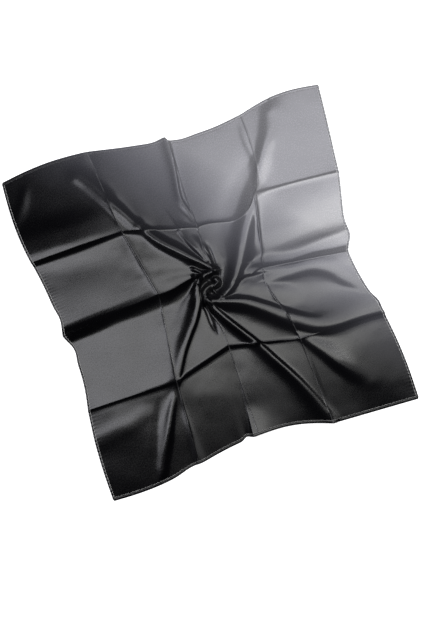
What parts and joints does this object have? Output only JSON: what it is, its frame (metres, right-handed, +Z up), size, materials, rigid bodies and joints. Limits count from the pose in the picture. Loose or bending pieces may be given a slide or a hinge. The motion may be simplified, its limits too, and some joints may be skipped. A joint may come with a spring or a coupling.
{
  "type": "square satin scarf laid flat with a twisted middle",
  "caption": "Square neck scarf of shaded satin, hemmed all round, laid flat with old fold lines and its middle twisted into radiating folds.",
  "frame": {"origin": "on the surface that the scarf lies on, under the middle of its outline", "axes": "+Z up through the cloth, +X along the near edge to the right, +Y from the near edge to the far edge; the pale corner is at +X +Y"},
  "size_m": [0.8947, 0.9043, 0.028],
  "materials": {
    "satin": "smooth satin weave shading diagonally from near black to pale grey",
    "hem": "the same satin turned over and sewn down with small stitches"
  },
  "bodies": {
    "root": {"satin_square": "satin", "hem_left": "hem", "hem_right": "hem", "hem_near": "hem", "hem_far": "hem"}
  },
  "joints": []
}
